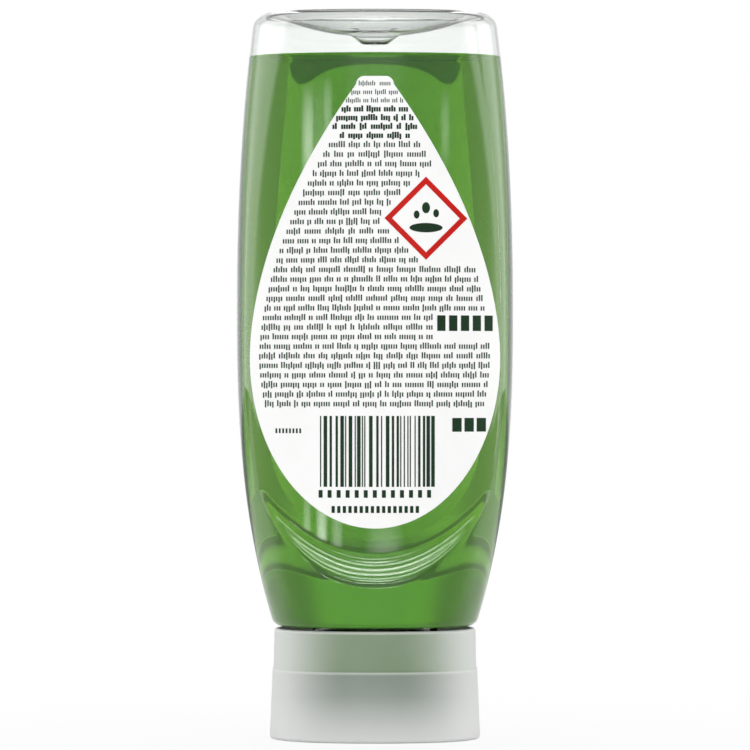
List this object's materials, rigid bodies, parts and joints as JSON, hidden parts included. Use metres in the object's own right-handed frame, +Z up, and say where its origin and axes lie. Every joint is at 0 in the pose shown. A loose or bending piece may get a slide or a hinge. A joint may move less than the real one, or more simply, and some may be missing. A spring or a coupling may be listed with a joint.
{
  "type": "dish soap bottle",
  "caption": "Squeeze bottle of green dish soap that stands on its closure: clear oval body with label panels, translucent closure with a self-sealing valve inside.",
  "frame": {"origin": "middle of the closure's foot, on the surface that the bottle stands on", "axes": "+Z up, X along the oval's width, Y through its depth; the small-print label faces -Y"},
  "size_m": [0.0776, 0.052, 0.203],
  "materials": {
    "clear_plastic": "clear blown plastic, glossy",
    "green_soap": "clear green liquid",
    "label_film": "white label film, satin",
    "frosted_plastic": "natural translucent moulding, satin",
    "silicone": "clear silicone rubber",
    "white_plastic": "white moulding, satin",
    "seal_film": "peel-off film, satin"
  },
  "bodies": {
    "closure_unit": {"closure": "frosted_plastic", "slit_valve": "silicone", "valve_retainer": "white_plastic", "impact_housing": "white_plastic", "transit_seal": "seal_film"},
    "bottle_unit": {"bottle": "clear_plastic", "soap": "green_soap", "back_label": "label_film", "front_label": "label_film"}
  },
  "joints": [
    {"name": "closure_snap", "type": "slide", "parent": "closure_unit", "child": "bottle_unit", "axis": [0, 0, 1], "range_m": [0, 0.035]}
  ]
}
